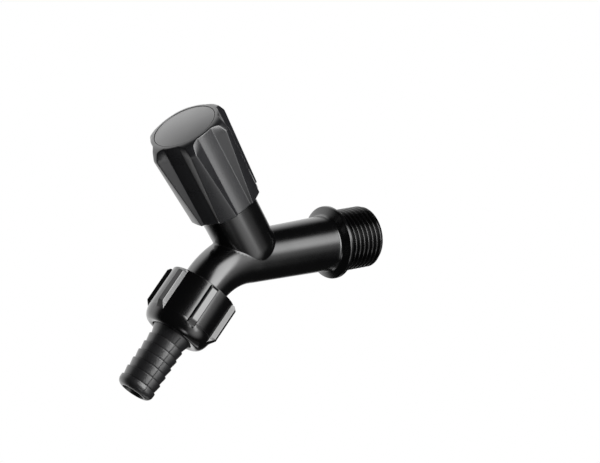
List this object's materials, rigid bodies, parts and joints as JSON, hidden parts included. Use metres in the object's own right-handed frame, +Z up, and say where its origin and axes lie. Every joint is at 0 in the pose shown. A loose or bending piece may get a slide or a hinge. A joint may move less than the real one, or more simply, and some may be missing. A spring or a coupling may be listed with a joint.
{
  "type": "hose tap",
  "caption": "Moulded plastic hose tap: threaded wall inlet with flange, screw-down valve under a ridged handle, ribbed union nut and barbed hose tail.",
  "frame": {"origin": "middle of the flange face that meets the wall, on the inlet axis", "axes": "+X out along the wall thread, +Z up; the neck and the outlet leg lie in the XZ plane"},
  "size_m": [0.1007, 0.027, 0.0928],
  "materials": {
    "body_plastic": "semi-gloss moulded black",
    "handle_plastic": "satin moulded black",
    "cap_plastic": "satin moulded black",
    "nut_plastic": "semi-gloss moulded black",
    "tail_plastic": "satin moulded black",
    "headwork_plastic": "natural acetal",
    "seal_rubber": "soft black rubber",
    "screw_steel": "plain stainless"
  },
  "bodies": {
    "tap_body": {"body": "body_plastic", "bonnet": "headwork_plastic", "bonnet_gasket": "seal_rubber"},
    "valve": {"jumper": "headwork_plastic", "seat_washer": "seal_rubber", "washer_screw": "screw_steel"},
    "spindle_and_handle": {"spindle": "headwork_plastic", "spindle_o_ring_lower": "seal_rubber", "spindle_o_ring_upper": "seal_rubber", "handle": "handle_plastic", "handle_screw": "screw_steel", "handle_cap": "cap_plastic"},
    "tail": {"hose_tail": "tail_plastic", "tail_gasket": "seal_rubber"},
    "nut": {"union_nut": "nut_plastic"}
  },
  "joints": [
    {"name": "valve_lift", "type": "slide", "parent": "tap_body", "child": "valve", "axis": [-0.5075, 0, 0.8616], "range_m": [0, 0.00501]},
    {"name": "handle_turn", "type": "hinge", "parent": "valve", "child": "spindle_and_handle", "pos_m": [-0.0329, 0, 0], "axis": [-0.5075, 0, 0.8616], "range_deg": [0, 720]},
    {"name": "nut_travel", "type": "slide", "parent": "tap_body", "child": "tail", "axis": [-0.6884, 0, -0.7254], "range_m": [0, 0.01089]},
    {"name": "nut_turn", "type": "hinge", "parent": "tail", "child": "nut", "pos_m": [-0.046, 0, 0], "axis": [-0.6884, 0, -0.7254], "range_deg": [0, 2160]}
  ],
  "couplings": [
    {"joint": "valve_lift", "follows": "handle_turn", "m_per_rad": 0.00039789},
    {"joint": "nut_travel", "follows": "nut_turn", "m_per_rad": 0.00028871}
  ]
}
